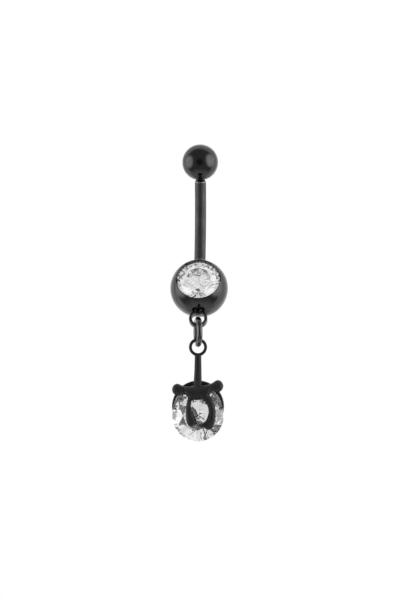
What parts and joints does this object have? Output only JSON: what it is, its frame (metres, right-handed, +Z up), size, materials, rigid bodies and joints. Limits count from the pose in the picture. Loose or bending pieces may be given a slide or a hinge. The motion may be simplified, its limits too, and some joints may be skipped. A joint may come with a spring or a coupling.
{
  "type": "navel ring",
  "caption": "Curved bar with a plain ball that turns off its top, a stone-set ball below, and a round stone in a claw setting hanging from a jump ring.",
  "frame": {"origin": "middle of the bar's curve, on its centreline, where the skin holds it", "axes": "+Z up along the hanging length, -Y out of the stones' faces, X to the side"},
  "size_m": [0.0082, 0.0109, 0.0418],
  "materials": {
    "bar_metal": "black coated steel, polished",
    "ball_metal": "black coated steel, mirror polished",
    "ring_metal": "black coated steel wire, polished",
    "setting_metal": "black coated casting, satin",
    "clear_stone": "clear cut stone, polished facets"
  },
  "bodies": {
    "barbell": {"bar": "bar_metal", "gem_ball": "ball_metal", "ball_stone": "clear_stone"},
    "top_ball": {"top_ball": "ball_metal"},
    "jump_ring": {"jump_ring": "ring_metal"},
    "drop": {"claw_setting": "setting_metal", "pendant_stone": "clear_stone"}
  },
  "joints": [
    {"name": "top_ball_unscrew", "type": "slide", "parent": "barbell", "child": "top_ball", "axis": [0, -0.2419, 0.9703], "range_m": [0, 0.003]},
    {"name": "ring_swing", "type": "hinge", "parent": "barbell", "child": "jump_ring", "pos_m": [0, -0.00708, -0.01461], "axis": [1, 0, 0], "range_deg": [-80, 40]},
    {"name": "drop_swing", "type": "hinge", "parent": "jump_ring", "child": "drop", "pos_m": [0, -0.00708, -0.01718], "axis": [0, 1, 0], "range_deg": [-90, 90]}
  ]
}
